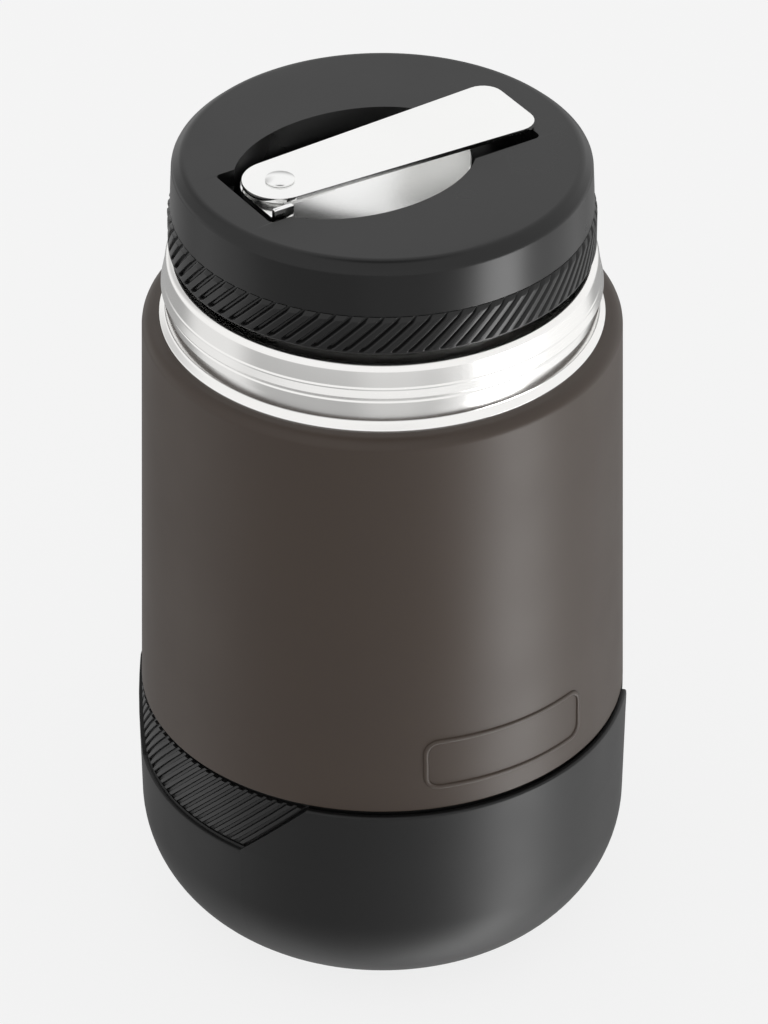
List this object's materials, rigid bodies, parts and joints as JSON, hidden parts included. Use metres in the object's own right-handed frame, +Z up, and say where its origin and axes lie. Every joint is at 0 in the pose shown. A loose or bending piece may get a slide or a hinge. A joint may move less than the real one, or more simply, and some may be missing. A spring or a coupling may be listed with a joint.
{
  "type": "insulated food jar",
  "caption": "Insulated food jar: brown painted body on a black boot, steel neck, black screw lid with a folding steel spoon stored in its top.",
  "frame": {"origin": "centre of the jar's flat underside", "axes": "+Z up along the jar's axis, -Y the front, +X to the right"},
  "size_m": [0.0956, 0.0958, 0.1689],
  "materials": {
    "brown_paint": "powder coat, satin",
    "satin_steel": "satin brushed",
    "spoon_steel": "polished",
    "black_plastic": "fine satin grain",
    "black_rubber": "smooth matte",
    "grip_rubber": "ribbed matte",
    "clear_silicone": "translucent silicone",
    "white_foam": "closed-cell foam",
    "solder": "cast",
    "getter_metal": "sintered"
  },
  "bodies": {
    "jar": {"base_boot": "black_rubber", "boot_grip_left": "grip_rubber", "boot_grip_right": "grip_rubber", "outer_shell": "brown_paint", "blank_badge": "brown_paint", "shell_base": "satin_steel", "vacuum_seal": "solder", "neck_collar": "satin_steel", "inner_liner": "satin_steel", "getter_pellet": "getter_metal", "getter_clip": "satin_steel"},
    "lid_seal": {"lid_gasket": "clear_silicone"},
    "lid": {"lid_cover": "black_plastic", "lid_grip_ring": "black_plastic", "lid_body": "black_plastic", "lid_foam": "white_foam"},
    "spoon": {"spoon_bowl": "spoon_steel", "stop_plate": "spoon_steel", "pivot_washer": "spoon_steel", "pivot_rivet": "spoon_steel"},
    "handle": {"spoon_handle": "spoon_steel"}
  },
  "joints": [
    {"name": "lid_rise", "type": "slide", "parent": "jar", "child": "lid_seal", "axis": [0, 0, 1], "range_m": [0, 0.027]},
    {"name": "lid_turn", "type": "hinge", "parent": "lid_seal", "child": "lid", "pos_m": [0, 0, 0.16], "axis": [0, 0, 1], "range_deg": [0, 810]},
    {"name": "spoon_lift", "type": "slide", "parent": "lid", "child": "spoon", "axis": [0, 0, 1], "range_m": [0, 0.025]},
    {"name": "handle_swing", "type": "hinge", "parent": "spoon", "child": "handle", "pos_m": [-0.01872, -0.01193, 0.167], "axis": [0, 0, 1], "range_deg": [0, 180]}
  ],
  "couplings": [
    {"joint": "lid_rise", "follows": "lid_turn", "m_per_rad": 0.0019098}
  ]
}
